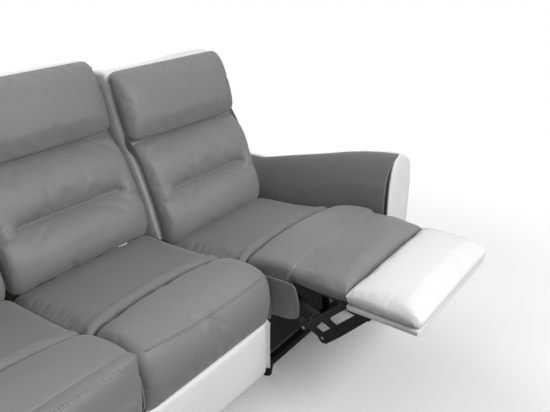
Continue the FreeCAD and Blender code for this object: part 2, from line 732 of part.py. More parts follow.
def middle_box():
    """The fixed seat's box of boards, standing on the floor rails."""
    top = FRAME_Z + FRAME_TUBE
    half = BOX_HALF_WIDTH
    board = BOX_BOARD
    front_z = ROLL_UNDERSIDE_Z - LEDGE_THICKNESS
    front_low = FRONT_BOTTOM_Z + 2 * BOARD_THICKNESS
    return [
        block(-half, half, BOARD_FRONT_Y, BOARD_FRONT_Y + board, front_low, front_z),
        block(-half, -half + board, BOARD_FRONT_Y + board, BOX_REAR_Y - board, BASE_TOP_Z, top),
        block(half - board, half, BOARD_FRONT_Y + board, BOX_REAR_Y - board, BASE_TOP_Z, top),
        block(-half, half, BOX_REAR_Y - board, BOX_REAR_Y, BASE_TOP_Z, BOX_REAR_TOP_Z),
        block(board - half, half - board, FRAME_REAR_Y - FRAME_TUBE, FRAME_REAR_Y, top - BOX_CROSS_HEIGHT, top),
        block(board - half, half - board, FRAME_FRONT_Y, FRAME_FRONT_Y + FRAME_TUBE, top - BOX_CROSS_HEIGHT, top),
        block(-half, half, BOARD_FRONT_Y, FRAME_FRONT_Y - 10, front_z, front_z + LEDGE_THICKNESS),
    ]


def arm_crest_z(y):
    """The arm's crest: a straight rise towards the front, levelling off before the tip."""
    rise = ARM_REAR_Z + max(0.0, ARM_BEND_Y - y) * ARM_SLOPE
    over = max(0.0, ARM_LEVEL_Y - y)
    return min(rise - over * over * 0.0016, ARM_TIP_Z)


def arm_sections():
    return (ARM_REAR_Y, ARM_BEND_Y, ARM_LEVEL_Y, (ARM_LEVEL_Y + ARM_FRONT_Y) / 2, ARM_FRONT_Y)


def outer_shoulder(z, inset):
    """The round from the arm's crest down to its outer side."""
    reach = ARM_OUTER_X - CREST_X
    side = ARM_OUTER_X - inset
    return ((CREST_X + reach * 0.66 - inset * 0.5, z - ARM_SHOULDER * 0.36 - inset), (side, z - ARM_SHOULDER))


def arm_cap(y, inset):
    """The outline of the arm's front cap."""
    x = ARM_INNER_X + inset
    z = ARM_TIP_Z
    bevel = (x + 11, z - ARM_BEVEL * 0.42 - inset)
    shoulder = outer_shoulder(z, inset)
    return profile(at_y(y), (x, FOOT_HEIGHT + inset), (x, z - ARM_BEVEL), (bevel, (CREST_X, z - inset)),
                   shoulder, (shoulder[1][0], FOOT_HEIGHT + inset))


def arm_shell():
    """The arm's hollow body in the second colour, with its front cap and shaft hole."""
    x0, x1 = ARM_INNER_X, ARM_OUTER_X
    inner = x0 + ARM_PAD
    wires = []
    rooms = []
    for y in arm_sections():
        z = arm_crest_z(y)
        wires.append(profile(
            at_y(y), (x0, FOOT_HEIGHT), (x0, ARM_PAD_BOTTOM_Z), (inner, ARM_PAD_BOTTOM_Z),
            (inner, z - ARM_BEVEL * 0.75), (CREST_X, z), outer_shoulder(z, 0), (x1, FOOT_HEIGHT)))
        inside = min(max(y, ARM_FRONT_Y + ARM_WALL), ARM_REAR_Y - ARM_WALL)
        rooms.append(profile(
            at_y(inside), (inner + ARM_WALL, FOOT_HEIGHT - 1), (inner + ARM_WALL, z - ARM_SHOULDER - ARM_WALL),
            (x1 - ARM_WALL, z - ARM_SHOULDER - ARM_WALL), (x1 - ARM_WALL, FOOT_HEIGHT - 1)))
    body = loft(wires)
    front = ARM_FRONT_Y
    cap = loft([arm_cap(front, 0), arm_cap(front - ARM_CAP / 2, 0), arm_cap(front - ARM_CAP, ARM_CAP / 2)])
    bore = rod((LEVER_Y, LEVER_Z), LEVER_SHAFT_RADIUS + PIN_CLEARANCE, x1 - ARM_WALL - 1, x1 + 1)
    return body.fuse(cap).cut(loft(rooms)).cut(bore)


def arm_pad():
    """The padding on the arm's inner side, up to the crest."""
    x0 = ARM_INNER_X
    inner = x0 + ARM_PAD
    wires = []
    for y in arm_sections():
        z = arm_crest_z(y)
        wires.append(profile(
            at_y(y), (inner, ARM_PAD_BOTTOM_Z), (x0, ARM_PAD_BOTTOM_Z), (x0, z - ARM_BEVEL),
            ((x0 + 11, z - ARM_BEVEL * 0.42), (CREST_X, z)), (inner, z - ARM_BEVEL * 0.75)))
    return loft(wires)


def arm_frame():
    """The sill on the feet, three studs and a sloping top rail inside the arm."""
    x0 = ARM_INNER_X + ARM_PAD + ARM_WALL
    x1 = ARM_OUTER_X - ARM_WALL
    front = ARM_FRONT_Y + ARM_WALL
    rear = ARM_REAR_Y - ARM_WALL
    sill = FOOT_HEIGHT + ARM_SILL

    def under_top(y):
        return arm_crest_z(y) - ARM_SHOULDER - ARM_WALL

    pieces = [block(x0, x1, front, rear, FOOT_HEIGHT, sill)]
    for y in (front, (front + rear - ARM_STUD) / 2, rear - ARM_STUD):
        top = under_top(y + ARM_STUD) - ARM_STUD / 2
        pieces.append(block(x0, x0 + ARM_STUD, y, y + ARM_STUD, sill, top))
    line = [(y, under_top(y)) for y in (front, ARM_LEVEL_Y, ARM_BEND_Y, rear)]
    rail = [(y, z - ARM_STUD, 0) for y, z in line] + [(y, z, 0) for y, z in reversed(line)]
    pieces.append(slab(outline(at_x(x0), rail), (ARM_STUD, 0, 0)))
    return pieces[0].fuse(pieces[1:]).removeSplitter()


def lever_cup():
    x = ARM_OUTER_X
    pivot = (LEVER_Y, LEVER_Z)
    cup = Part.makeCone(CUP_RADIUS, CUP_RADIUS - 6, CUP_THICKNESS, Vector(x, *pivot), X_AXIS)
    return cup.cut(rod(pivot, LEVER_SHAFT_RADIUS + PIN_CLEARANCE, x - 1, x + CUP_THICKNESS + 1))


def release_lever():
    """A paddle on a shaft that runs into the arm."""
    x = ARM_OUTER_X + CUP_THICKNESS + 1
    y, z = LEVER_Y, LEVER_Z
    paddle = slab(outline(at_x(x), [
        (y + 22, z - 20, 18), (y + 22, z + 22, 20), (y - 50, z + 34, 60),
        (y - LEVER_LENGTH, z + 34, 14), (y - LEVER_LENGTH, z + 4, 14), (y - 50, z - 8, 60)]),
        (LEVER_THICKNESS, 0, 0))
    return paddle.fuse(rod((y, z), LEVER_SHAFT_RADIUS, ARM_OUTER_X - LEVER_REACH, x + 1))


def feet():
    """Round glides under the arms and the ends of the mechanisms."""
    spots = []
    for side in (-1, 1):
        for y in (ARM_FRONT_Y + 60, ARM_REAR_Y - 60):
            spots.append((side * (ARM_INNER_X + ARM_WIDTH / 2), y))
        for y in (FRONT_RAIL_Y, REAR_RAIL_Y):
            for x in (SEAT_PITCH - FIRST_LAYER, SEAT_PITCH + FIRST_LAYER):
                spots.append((side * x, y))
    return [Part.makeCone(FOOT_RADIUS - 4, FOOT_RADIUS, FOOT_HEIGHT, Vector(x, y, 0)) for x, y in spots]


def base_rails():
    """Two hollow square rails that tie the arms, mechanisms and middle box together."""
    rails = []
    for y in (FRONT_RAIL_Y, REAR_RAIL_Y):
        half = RAIL_SIZE / 2
        wall = RAIL_WALL
        tube = block(-ARM_INNER_X, ARM_INNER_X, y - half, y + half, FOOT_HEIGHT, BASE_TOP_Z)
        bore = block(-ARM_INNER_X - 1, ARM_INNER_X + 1, y - half + wall, y + half - wall,
                     FOOT_HEIGHT + wall, BASE_TOP_Z - wall)
        rails.append(tube.cut(bore))
    return rails


def recliner_pieces():
    """Every piece of an end seat, drawn closed, under the body that carries it."""
    spring_z = FRAME_Z + FRAME_TUBE
    return {
        "base_brackets": ("frame", base_brackets()),
        "front_swing_links": ("front_swing", front_swings()),
        "rear_swing_links": ("rear_swing", rear_swings()),
        "seat_plates": ("seat", seat_plates()),
        "seat_frame": ("seat", seat_frame()),
        "seat_springs": ("seat", springs(spring_z)),
        "seat_cushion": ("seat", [seat_cushion()]),
        "seat_front_roll": ("seat", [front_roll(False)]),
        "side_gussets": ("seat", side_gussets()),
        "drive_links": ("drive_link", drive_links()),
        "guide_links": ("guide_link", guide_links()),
        "cross_links": ("cross_link", cross_links()),
        "lift_links": ("lift_link", lift_links()),
        "footrest_brackets": ("footrest", footrest_brackets()),
        "footrest_board": ("footrest", [footrest_board()]),
        "footrest_pad": ("footrest", [footrest_pad()]),
        "footrest_end_pad": ("footrest", [end_pad(FRONT_BOTTOM_Z, HALF_SEAT - 2, True)]),
        "back_hinge_plates": ("back", back_hinge_plates()),
        "back_frame": ("back", [back_frame(POST_BOTTOM_Z)]),
        "back_cushion": ("back", [back_cushion()]),
        "back_shell": ("back", [back_shell()]),
    }


def shifted(shape, x, placement=None):
    """A copy of a shape after its body's motion, moved along X to its seat."""
    copy = shape.copy()
    total = Placement(Vector(x, 0, 0), Rotation())
    if placement:
        total = total.multiply(placement)
    copy.Placement = total.multiply(copy.Placement)
    return copy


SEATS = {"left": (-SEAT_PITCH, 0.0), "right": (SEAT_PITCH, 1.0)}


def sofa():
    """All nodes by name, each a list of solids, in the frame of the seat crease."""
    nodes = {"base_brackets": []}
    pieces = recliner_pieces()
    for side, (x, opened) in SEATS.items():
        for name, (body, solids) in pieces.items():
            placed = [shifted(solid, x, motion(body, opened)) for solid in solids]
            if name == "base_brackets":
                nodes[name] += placed
            else:
                nodes[side + "_" + name] = placed
    for side, sign in (("left", -1), ("right", 1)):
        for name, shape in (("arm_shell", arm_shell()), ("arm_pad", arm_pad()), ("arm_frame", arm_frame()),
                            ("release_lever", release_lever())):
            if sign < 0:
                shape = shape.mirror(Vector(0, 0, 0), X_AXIS)
            nodes[side + "_" + name] = [shape]
    nodes["lever_cups"] = both_sides(lever_cup())
    nodes["floor_feet"] = feet()
    nodes["base_rails"] = base_rails()
    top = FRAME_Z + FRAME_TUBE
    nodes["middle_seat_box"] = middle_box()
    nodes["middle_seat_springs"] = springs(top)
    nodes["middle_seat_cushion"] = [seat_cushion()]
    nodes["middle_seat_front_roll"] = [front_roll(True)]
    nodes["middle_kick_panel"] = [end_pad(FRONT_BOTTOM_Z + BOARD_THICKNESS, HALF_SEAT, False)]
    nodes["middle_back_frame"] = [back_frame(BOX_REAR_TOP_Z)]
    nodes["middle_back_cushion"] = [back_cushion()]
    nodes["middle_back_shell"] = [back_shell()]
    return nodes


def centre_y(nodes):
    """Half way between the tip of the open footrest and the rear of the middle back."""
    front = nodes["right_footrest_end_pad"][0].optimalBoundingBox().YMin
    rear = nodes["middle_back_shell"][0].optimalBoundingBox().YMax
    return (front + rear) / 2


NODES = sofa()
CENTRE_Y = centre_y(NODES)

os.makedirs("parts", exist_ok=True)
for node, solids in NODES.items():
    placed = [solid.translated(Vector(0, -CENTRE_Y, 0)) for solid in solids]
    whole = placed[0] if len(placed) == 1 else Part.makeCompound(placed)
    whole.exportStep("parts/" + node + ".step")
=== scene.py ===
import json
import math

import bmesh
import bpy
import numpy as np
from mathutils import Matrix, Vector
from mathutils.bvhtree import BVHTree

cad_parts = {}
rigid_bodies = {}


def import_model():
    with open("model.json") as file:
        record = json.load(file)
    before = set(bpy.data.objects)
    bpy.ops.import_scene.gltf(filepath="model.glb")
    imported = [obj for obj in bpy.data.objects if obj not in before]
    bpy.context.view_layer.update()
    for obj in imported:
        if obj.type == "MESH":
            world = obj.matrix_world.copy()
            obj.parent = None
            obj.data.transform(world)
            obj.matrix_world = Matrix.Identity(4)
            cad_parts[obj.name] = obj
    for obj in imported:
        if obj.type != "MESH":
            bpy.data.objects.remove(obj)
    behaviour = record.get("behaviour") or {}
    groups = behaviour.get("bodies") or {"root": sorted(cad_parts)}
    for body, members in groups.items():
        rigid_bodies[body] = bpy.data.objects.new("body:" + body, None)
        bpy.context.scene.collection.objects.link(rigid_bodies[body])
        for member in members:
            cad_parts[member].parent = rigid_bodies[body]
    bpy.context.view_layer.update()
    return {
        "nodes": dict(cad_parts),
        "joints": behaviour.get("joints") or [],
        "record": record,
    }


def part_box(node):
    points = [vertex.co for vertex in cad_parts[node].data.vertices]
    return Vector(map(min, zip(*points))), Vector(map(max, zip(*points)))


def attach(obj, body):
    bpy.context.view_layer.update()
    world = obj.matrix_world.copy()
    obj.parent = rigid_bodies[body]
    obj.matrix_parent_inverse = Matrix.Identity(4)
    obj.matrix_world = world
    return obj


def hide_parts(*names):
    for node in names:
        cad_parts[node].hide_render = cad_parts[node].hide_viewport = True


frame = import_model()

# Metres. A seat's pieces are drawn closed: x from the seat's middle, y from the crease between
# seat and back, z from the floor. The sofa faces -y.
SEAT_PITCH = 0.540
HALF_SEAT = 0.263
RAIL_TO_CREASE = 0.470
RAIL_HALF = 0.0125
CREASE_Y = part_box("base_rails")[0].y + RAIL_HALF + RAIL_TO_CREASE
SEATS = {"left": -SEAT_PITCH, "middle": 0.0, "right": SEAT_PITCH}

JOINTS = {joint["child"]: joint for joint in frame["joints"]}
COUPLED = {c["joint"]: c for c in frame["record"]["behaviour"]["couplings"]}
OPEN_TURN = {j["name"]: j["range_deg"][1] for j in frame["joints"]}


def camera():
    """The photograph's view: from the front left, a little above the arms. The focal length is 619.775
    pixels of a picture 550 pixels wide."""
    azimuth, elevation = math.radians(-53.943), math.radians(23.865)
    back = Vector((math.sin(azimuth) * math.cos(elevation), -math.cos(azimuth) * math.cos(elevation),
                   math.sin(elevation)))
    right = Vector((math.cos(azimuth), math.sin(azimuth), 0))
    up = back.cross(right)
    data = bpy.data.cameras.new("camera")
    data.sensor_width = 36.0
    data.lens = 36.0 * 619.775 / 550
    made = bpy.data.objects.new("camera", data)
    made.matrix_world = Matrix((right, up, back)).transposed().to_4x4()
    made.location = (-1.047, -1.5176 + CREASE_Y, 1.408)
    bpy.context.scene.collection.objects.link(made)
    bpy.context.scene.camera = made


camera()


# Materials

def colour(text):
    """The linear RGBA of an sRGB hex colour."""
    value = np.array([int(text[i:i + 2], 16) for i in (1, 3, 5)]) / 255
    linear = np.where(value > 0.04045, ((value + 0.055) / 1.055) ** 2.4, value / 12.92)
    return (*linear, 1.0)


def add(material, kind, inputs=(), **settings):
    """Adds a node, with its settings, and its inputs set to values or linked from sockets."""
    made = material.node_tree.nodes.new(kind)
    for name, value in settings.items():
        setattr(made, name, value)
    for name, value in dict(inputs).items():
        if isinstance(value, bpy.types.NodeSocket):
            material.node_tree.links.new(value, made.inputs[name])
        else:
            made.inputs[name].default_value = value
    return made


def finish_named(name):
    """An empty material with its shader, and the object's own coordinates."""
    made = bpy.data.materials.new(name)
    made.use_nodes = True
    made.node_tree.nodes.clear()
    place = add(made, "ShaderNodeTexCoord").outputs["Object"]
    return made, place


def close(material, shader):
    """Leads a shader to the material's output."""
    add(material, "ShaderNodeOutputMaterial", {"Surface": shader.outputs[0]})
    return material


def blended(material, factor, low, high):
    """A colour between two hex colours."""
    mix = add(material, "ShaderNodeMix", {0: factor, 6: colour(low), 7: colour(high)}, data_type="RGBA")
    return mix.outputs[2]


def microfibre(name, low, high):
    """Brushed polyester microfibre: a short nap that shades where hands have stroked it, over a broad soft
    gleam, which picks out the rounded noses."""
    made, place = finish_named(name)
    stroke = add(made, "ShaderNodeTexNoise", {"Vector": place, "Scale": 7.0, "Detail": 3.0,
                                              "Roughness": 0.6})
    fleck = add(made, "ShaderNodeTexNoise", {"Vector": place, "Scale": 900.0, "Detail": 2.0})
    tone = add(made, "ShaderNodeMath", {0: stroke.outputs[0], 1: fleck.outputs[0], 2: 0.25},
               operation="MULTIPLY_ADD")
    base = blended(made, tone.outputs[0], low, high)
    creep = add(made, "ShaderNodeTexNoise", {"Vector": place, "Scale": 16.0, "Detail": 2.0,
                                             "Distortion": 0.6})
    soft = add(made, "ShaderNodeBump", {"Height": creep.outputs[0], "Strength": 0.25, "Distance": 0.006})
    nap = add(made, "ShaderNodeTexNoise", {"Vector": place, "Scale": 700.0, "Detail": 3.0})
    bump = add(made, "ShaderNodeBump", {"Height": nap.outputs[0], "Strength": 0.35, "Distance": 0.0008,
                                        "Normal": soft.outputs[0]})
    shader = add(made, "ShaderNodeBsdfPrincipled", {
        "Base Color": base, "Roughness": 0.60, "Sheen Weight": 0.18, "Sheen Roughness": 0.45,
        "Specular IOR Level": 0.65, "Normal": bump.outputs[0]})
    return close(made, shader)


def leatherette():
    """Coated cloth embossed with a fine pebble grain, satin white."""
    made, place = finish_named("white_pvc_leatherette")
    age = add(made, "ShaderNodeTexNoise", {"Vector": place, "Scale": 5.0, "Detail": 2.0})
    base = blended(made, age.outputs[0], "#e9e9e8", "#f3f3f3")
    pebble = add(made, "ShaderNodeTexVoronoi", {"Vector": place, "Scale": 480.0}, feature="SMOOTH_F1")
    pull = add(made, "ShaderNodeTexNoise", {"Vector": place, "Scale": 14.0, "Detail": 2.0})
    soft = add(made, "ShaderNodeBump", {"Height": pull.outputs[0], "Strength": 0.3, "Distance": 0.008})
    bump = add(made, "ShaderNodeBump", {"Height": pebble.outputs[0], "Strength": 0.12, "Distance": 0.0006,
                                        "Normal": soft.outputs[0]})
    shader = add(made, "ShaderNodeBsdfPrincipled", {
        "Base Color": base, "Roughness": 0.46, "IOR": 1.5, "Coat Weight": 0.08, "Coat Roughness": 0.3,
        "Normal": bump.outputs[0]})
    return close(made, shader)


def painted_steel():
    """Stamped sheet steel in black stoving enamel, a little dusty."""
    made, place = finish_named("black_enamelled_steel")
    dust = add(made, "ShaderNodeTexNoise", {"Vector": place, "Scale": 60.0, "Detail": 4.0})
    base = blended(made, dust.outputs[0], "#0f0f10", "#222224")
    peel = add(made, "ShaderNodeTexNoise", {"Vector": place, "Scale": 650.0, "Detail": 1.0})
    bump = add(made, "ShaderNodeBump", {"Height": peel.outputs[0], "Strength": 0.08, "Distance": 0.0005})
    shader = add(made, "ShaderNodeBsdfPrincipled", {
        "Base Color": base, "Roughness": 0.38, "IOR": 1.5, "Normal": bump.outputs[0]})
    return close(made, shader)


def drawn_steel():
    """Drawn spring wire, bright with fine lengthwise lines."""
    made, place = finish_named("drawn_spring_steel")
    line = add(made, "ShaderNodeTexNoise", {"Vector": place, "Scale": 300.0, "Detail": 3.0})
    base = blended(made, line.outputs[0], "#8f9092", "#b9babc")
    shader = add(made, "ShaderNodeBsdfPrincipled", {"Base Color": base, "Metallic": 1.0, "Roughness": 0.32})
    return close(made, shader)


def timber(name, low, high, scale):
    """Sawn board: long grain stretched along x, with a dull dry surface."""
    made, place = finish_named(name)
    drawn = add(made, "ShaderNodeMapping", {"Vector": place, "Scale": (1.0, 14.0, 14.0)})
    grain = add(made, "ShaderNodeTexNoise", {"Vector": drawn.outputs[0], "Scale": scale, "Detail": 5.0,
                                             "Distortion": 0.8})
    base = blended(made, grain.outputs[0], low, high)
    bump = add(made, "ShaderNodeBump", {"Height": grain.outputs[0], "Strength": 0.2, "Distance": 0.0006})
    shader = add(made, "ShaderNodeBsdfPrincipled", {"Base Color": base, "Roughness": 0.72,
                                                    "Normal": bump.outputs[0]})
    return close(made, shader)


def moulded_plastic():
    """Injection-moulded polypropylene with a fine spark-eroded texture."""
    made, place = finish_named("black_moulded_polypropylene")
    spark = add(made, "ShaderNodeTexNoise", {"Vector": place, "Scale": 1100.0, "Detail": 2.0})
    base = blended(made, spark.outputs[0], "#161617", "#1f1f21")
    bump = add(made, "ShaderNodeBump", {"Height": spark.outputs[0], "Strength": 0.25, "Distance": 0.0003})
    shader = add(made, "ShaderNodeBsdfPrincipled", {"Base Color": base, "Roughness": 0.5,
                                                    "Normal": bump.outputs[0]})
    return close(made, shader)


FABRIC = microfibre("grey_brushed_microfibre", "#707071", "#888889")
# A darker copy of the fabric for the seat pads: painted shade, standing in for the shade that the backs and
# arms throw on the seats.
SEAT_SHADE_FABRIC = microfibre("grey_microfibre_painted_shade", "#666667", "#7d7d7e")
THREAD = microfibre("grey_polyester_thread", "#4e4e50", "#5c5c5e")
# Near-black cloth put where there is only shade: the sheets inside the mechanisms and the bands under the
# footrest pads are painted shade.
SHADE_CLOTH = microfibre("black_spunbonded_lining", "#0c0c0d", "#151516")
WHITE = leatherette()
STEEL = painted_steel()
WIRE = drawn_steel()
SOFTWOOD = timber("sawn_pine", "#c79f6a", "#dfc08d", 9.0)
PLYWOOD = timber("birch_plywood", "#c9a878", "#dcc298", 6.0)
PLASTIC = moulded_plastic()


# Shapes

def line(points, count):
    """A Catmull-Rom curve through the points, cut into even steps along its length."""
    p = np.asarray(points, float)
    ends = np.vstack([2 * p[0] - p[1], p, 2 * p[-1] - p[-2]])
    t = np.linspace(0, 1, 16, endpoint=False)[None, :, None]
    a, b, c, d = (ends[k:len(ends) - 3 + k, None] for k in range(4))
    dense = 0.5 * (2 * b + (c - a) * t + (2 * a - 5 * b + 4 * c - d) * t ** 2
                   + (3 * b - a - 3 * c + d) * t ** 3)
    dense = np.vstack([dense.reshape(-1, p.shape[1]), p[-1:]])
    run = np.r_[0, np.cumsum(np.linalg.norm(np.diff(dense, axis=0), axis=1))]
    even = np.linspace(0, run[-1], count)
    return np.stack([np.interp(even, run, dense[:, k]) for k in range(p.shape[1])], 1)


def drawn_in(loop, distance):
    """A closed loop moved inwards along its normals by a distance."""
    along = np.roll(loop, -1, 0) - np.roll(loop, 1, 0)
    along = along + 0.5 * (np.roll(along, 1, 0) + np.roll(along, -1, 0))
    normal = np.stack([-along[:, 1], along[:, 0]], 1)
    normal /= np.linalg.norm(normal, axis=1, keepdims=True) + 1e-9
    x, y = loop.T
    area = np.sum(x * np.roll(y, -1) - np.roll(x, -1) * y)
    return loop + normal * distance * np.sign(area)


def pad_rings(half, section, rounding, rings=36, edge=7, upright=None):
    """Rings of a closed pad: section(s) is the loop at share s of the half width, and over the last
    `rounding` metres at each end the loop draws in along a quarter circle, then closes on its middle line.
    upright is a line of (z, share): how much of the drawing in is kept along z, so that a colour line
    runs straight to the corner."""
    shares = np.linspace(-1, 1, rings) * (half - rounding) / half
    turns = np.linspace(0, math.pi / 2, edge + 1)[1:]

    def rounded(loop, distance):
        inner = drawn_in(loop, distance)
        if upright is not None:
            kept = np.interp(loop[:, 1], *np.array(upright).T)
            inner[:, 1] = loop[:, 1] + kept * (inner[:, 1] - loop[:, 1])
        return inner

    def end(sign):
        made = []
        share = sign * (half - rounding) / half
        for turn in turns:
            loop = rounded(section(share + sign * rounding * math.sin(turn) / half),
                           rounding * (1 - math.cos(turn)))
            made.append((sign * (half - rounding + rounding * math.sin(turn)), loop))
        x, loop = made[-1]
        middle = (loop + loop[::-1]) / 2
        for close_in in (0.35, 0.7):
            made.append((x, middle + (loop - middle) * (1 - close_in)))
        return made

    loops = end(-1)[::-1] + [(share * half, section(share)) for share in shares] + end(1)
    return np.array([np.column_stack([np.full(len(loop), x), loop]) for x, loop in loops])


def closed_faces(count, around):
    """Quads between rings, and a ladder of quads across each end ring."""
    ring = np.arange(count - 1)[:, None] * around
    a = np.arange(around)[None]
    b = (a + 1) % around
    sides = np.stack([ring + a, ring + b, ring + around + b, ring + around + a], -1).reshape(-1, 4)
    k = np.arange(around // 2 - 1)
    ladder = np.stack([k, k + 1, around - 2 - k, around - 1 - k], 1)
    last = (count - 1) * around
    return np.vstack([sides, ladder, (ladder + last)[:, ::-1]])


def piece(name, points, faces, material, level=1):
    """A mesh object from points and quads, its faces turned outwards, smooth and subdivided."""
    mesh = bpy.data.meshes.new(name)
    points = np.asarray(points, float).reshape(-1, 3)
    mesh.from_pydata(points.tolist(), [], np.asarray(faces).tolist())
    work = bmesh.new()
    work.from_mesh(mesh)
    bmesh.ops.recalc_face_normals(work, faces=work.faces)
    work.to_mesh(mesh)
    work.free()
    mesh.polygons.foreach_set("use_smooth", np.ones(len(mesh.polygons), bool))
    mesh.materials.append(material)
    made = bpy.data.objects.new(name, mesh)
    bpy.context.scene.collection.objects.link(made)
    if level:
        finer = made.modifiers.new("finer", "SUBSURF")
        finer.levels = level
        finer.render_levels = level
    return made


def ring_piece(name, rings, material, level=1):
    """A closed piece from rings of equal count: quads between them and a ladder across each end."""
    return piece(name, rings, closed_faces(*rings.shape[:2]), material, level)


def opened(body):
    """How a left body moves as its seat opens: its joint's turn, then those of the bodies that carry it."""
    total = Matrix.Identity(4)
    while body != "frame":
        joint = JOINTS[body]
        rule = COUPLED.get(joint["name"])
        angle = rule["ratio"] * OPEN_TURN[rule["follows"]] if rule else OPEN_TURN[joint["name"]]
        pivot = Matrix.Translation(joint["pos_m"])
        turn = Matrix.Rotation(math.radians(angle), 4, Vector(joint["axis"]))
        total = pivot @ turn @ pivot.inverted() @ total
        body = joint["parent"]
    return total


def placed(points, seat, part):
    """Closed seat coordinates put where a seat's part is at rest, in the row frame."""
    points = np.asarray(points, float)
    shape = points.shape
    flat = points.reshape(-1, 3) + (SEATS[seat], CREASE_Y, 0)
    if seat == "right":
        flat = flat - (2 * SEAT_PITCH, 0, 0)
        turn = np.array(opened("left_" + part))
        flat = flat @ turn[:3, :3].T + turn[:3, 3] + (2 * SEAT_PITCH, 0, 0)
    return flat.reshape(shape)


def carrier(seat, part):
    """The body that carries a seat's part. The middle seat's parts are all on the frame."""
    return "frame" if seat == "middle" else f"{seat}_{part}"


def dressed(made, body, slot, *nodes, fill=None):
    """Puts a piece on its body, with the CAD nodes that it stands for; its slot is not used."""
    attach(made, body)
    if nodes:
        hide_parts(*nodes)


CLOTH_STEPS = 20
CLOTH_PRESSURE = 4.0
CLOTH_SLACK = 0.015


def stuffed(rings, held, cap):
    """Fills a closed pad with a Cloth run: pressure inside, no gravity, the points of `held` pinned by their
    weight from 0 to 1. The cloth is cut larger by CLOTH_SLACK, which leaves small puckers at what is pinned.
    No point ends further than `cap` from where it began."""
    scene = bpy.context.scene
    made = ring_piece("trial", rings, FABRIC, level=0)
    group = made.vertex_groups.new(name="held")
    weights = np.round(held.reshape(-1), 1)
    for weight in np.unique(weights):
        chosen = np.nonzero(weights == weight)[0]
        group.add(chosen.tolist(), float(weight), "REPLACE")
    cloth = made.modifiers.new("cloth", "CLOTH")
    settings = cloth.settings
    settings.quality = 5
    settings.mass = 0.3
    settings.tension_stiffness = settings.compression_stiffness = 15.0
    settings.shear_stiffness = 5.0
    settings.bending_stiffness = 0.4
    settings.use_pressure = True
    settings.uniform_pressure_force = CLOTH_PRESSURE
    settings.vertex_group_mass = "held"
    settings.shrink_min = -CLOTH_SLACK
    settings.effector_weights.gravity = 0.0
    cloth.collision_settings.use_collision = False
    for step in range(1, CLOTH_STEPS + 1):
        scene.frame_set(step)
    shaped = made.evaluated_get(bpy.context.evaluated_depsgraph_get())
    found = np.empty(rings.size, np.float32)
    shaped.data.vertices.foreach_get("co", found)
    scene.frame_set(1)
    bpy.data.objects.remove(made)
    moved = found.reshape(rings.shape) - rings
    length = np.linalg.norm(moved, axis=-1, keepdims=True)
    return rings + moved * np.minimum(1, cap / np.maximum(length, 1e-9))


def sewn(name, hosts, path, pitch=0.0095, length=0.0062, width=0.0020):
    """A row of stitches: a lozenge of eight points, raised at its middle, laid on the nearest place of the
    host pieces every `pitch` along the path. Drawn wider than real thread, so that the row shows."""
    graph = bpy.context.evaluated_depsgraph_get()
    trees = [BVHTree.FromObject(host, graph) for host in hosts]
    path = np.asarray(path, float)
    run = np.r_[0, np.cumsum(np.linalg.norm(np.diff(path, axis=0), axis=1))]
    spots = np.stack([np.interp(np.arange(0, run[-1], pitch), run, path[:, k]) for k in range(3)], 1)
    laid = []
    for spot in spots:
        near = min((tree.find_nearest(Vector(spot)) for tree in trees), key=lambda hit: hit[3])
        laid.append((*near[0], *near[1]))
    laid = np.array(laid)
    centre, normal = laid[:, :3], laid[:, 3:]
    along = np.gradient(centre, axis=0)
    along /= np.linalg.norm(along, axis=1, keepdims=True)
    side = np.cross(normal, along)
    ring = np.array([(-.5, 0, 0), (-.32, .5, 0), (.32, .5, 0), (.5, 0, 0), (.32, -.5, 0), (-.32, -.5, 0),
                     (-.25, 0, .55), (.25, 0, .55)])
    points = (centre[:, None] + ring[None, :, :1] * along[:, None] * length
              + ring[None, :, 1:2] * side[:, None] * width + ring[None, :, 2:] * normal[:, None] * width)
    tris = np.array([(0, 1, 6), (1, 2, 7), (1, 7, 6), (2, 3, 7), (3, 4, 7), (4, 5, 6), (4, 6, 7), (5, 0, 6),
                     (0, 5, 1), (5, 4, 1), (4, 2, 1), (4, 3, 2)])
    faces = (tris[None] + 8 * np.arange(len(points))[:, None, None]).reshape(-1, 3)
    return piece(name, points, faces, THREAD, level=0)


# Seats

SEAT_LIFT = {"left": 0.020, "middle": 0.0, "right": 0.006}
SEAT_PROUD = {"left": 0.014, "middle": 0.0, "right": 0.0}


def seat_section(lift):
    """The rear part of a seat: rising from the crease, crowned across, with a rolled edge at the notch.
    Every section here is a smooth line through set (y, z) points. With s the share of the half width, the
    top is higher by crown x (1 - s^2), and the notch lies further back by bow x (1 - s^2)."""
    def section(share):
        crown = 0.012 * (1 - share ** 2)
        bow = 0.018 * (1 - share ** 2)
        top = [(0.004, 0.395), (0.005, 0.422), (-0.008, 0.438), (-0.050, 0.448), (-0.130, 0.453),
               (-0.210, 0.456), (-0.275, 0.459), (-0.300, 0.460), (-0.316, 0.466), (-0.330, 0.467),
               (-0.340, 0.461), (-0.3435, 0.446), (-0.342, 0.405)]
        rise = np.array([0, 0, .5, 1, 1, 1, 1, 1, 1, 1, 1, .8, 0])
        slide = np.array([0, 0, 0, 0, .1, .3, .6, .8, 1, 1, 1, 1, 1])
        top = np.array(top)
        top[:, 1] += rise * (crown + lift - 0.004)
        top[:, 0] += slide * (bow - 0.011)
        low = [(-0.338, 0.372), (-0.300, 0.362), (-0.170, 0.360), (-0.030, 0.362), (-0.002, 0.372)]
        return np.vstack([line(top, 60), line(low, 60)])
    return section


